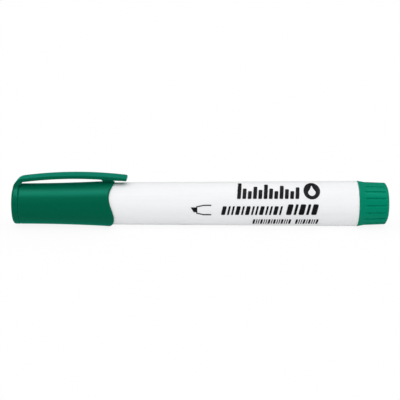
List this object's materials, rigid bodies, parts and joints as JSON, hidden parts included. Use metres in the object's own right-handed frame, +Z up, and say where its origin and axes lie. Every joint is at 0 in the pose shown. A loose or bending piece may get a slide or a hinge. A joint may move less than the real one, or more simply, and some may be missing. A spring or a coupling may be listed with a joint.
{
  "type": "whiteboard marker",
  "caption": "Capped whiteboard marker: white tapered barrel, green cap with a spring clip and a wavy mouth, chisel nib on a fibre ink reservoir, fluted green end plug.",
  "frame": {"origin": "on the surface that the marker lies on, under its axis and half-way along it", "axes": "+X along the marker from the cap to the end plug, +Z up through the clip"},
  "size_m": [0.137, 0.0168, 0.0196],
  "materials": {
    "barrel_white": "glossy moulded polypropylene",
    "holder_white": "satin moulded polypropylene",
    "inked_felt": "pressed felt soaked in green ink",
    "inked_fibre": "polyester fibre bundle soaked in green ink",
    "clear_film": "thin translucent film",
    "plug_green": "moulded polypropylene, mid green",
    "cap_green": "moulded polypropylene, deep green",
    "liner_natural": "natural polyethylene"
  },
  "bodies": {
    "pen": {"barrel": "barrel_white", "nib_holder": "holder_white", "nib": "inked_felt", "reservoir_core": "inked_fibre", "reservoir_wrap": "clear_film", "breather_tube": "clear_film", "end_plug": "plug_green"},
    "liner": {"cap_liner": "liner_natural"},
    "cap": {"cap_shell": "cap_green", "cap_crown": "cap_green"},
    "clip": {"clip": "cap_green"}
  },
  "joints": [
    {"name": "cap_pull", "type": "slide", "parent": "pen", "child": "liner", "axis": [-1, 0, 0], "range_m": [0, 0.045]},
    {"name": "cap_turn", "type": "hinge", "parent": "liner", "child": "cap", "pos_m": [-0.0503, 0, 0.00836], "axis": [1, 0, 0], "continuous": true},
    {"name": "clip_flex", "type": "hinge", "parent": "cap", "child": "clip", "pos_m": [-0.0625, 0, 0.01816], "axis": [0, -1, 0], "range_deg": [0, 4], "stiffness_Nm_per_rad": 1}
  ]
}
